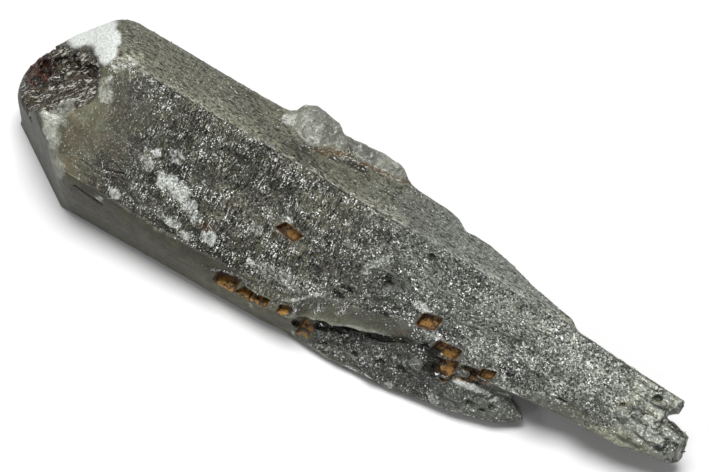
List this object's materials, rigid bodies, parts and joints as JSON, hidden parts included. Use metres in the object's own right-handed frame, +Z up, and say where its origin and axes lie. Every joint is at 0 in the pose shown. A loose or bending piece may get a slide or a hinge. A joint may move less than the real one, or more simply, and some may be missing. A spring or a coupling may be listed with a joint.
{
  "type": "smoky quartz crystal",
  "caption": "Loose smoky quartz crystal lying on its side, broken at the thick end and tapering to a blunt tip, with a lower blade and pitted faces.",
  "frame": {"origin": "a point of the flat underside, near the middle of the crystal's length and below its upper ridge", "axes": "+X along the crystal from the thick broken end towards the thin tip, +Y towards the back, +Z up"},
  "size_m": [0.2022, 0.0501, 0.0409],
  "materials": {
    "smoky_quartz": "grey smoky quartz, glossy but finely pitted, with milky patches and rust-coloured staining in the pits"
  },
  "bodies": {
    "root": {"smoky_quartz_crystal": "smoky_quartz"}
  },
  "joints": []
}
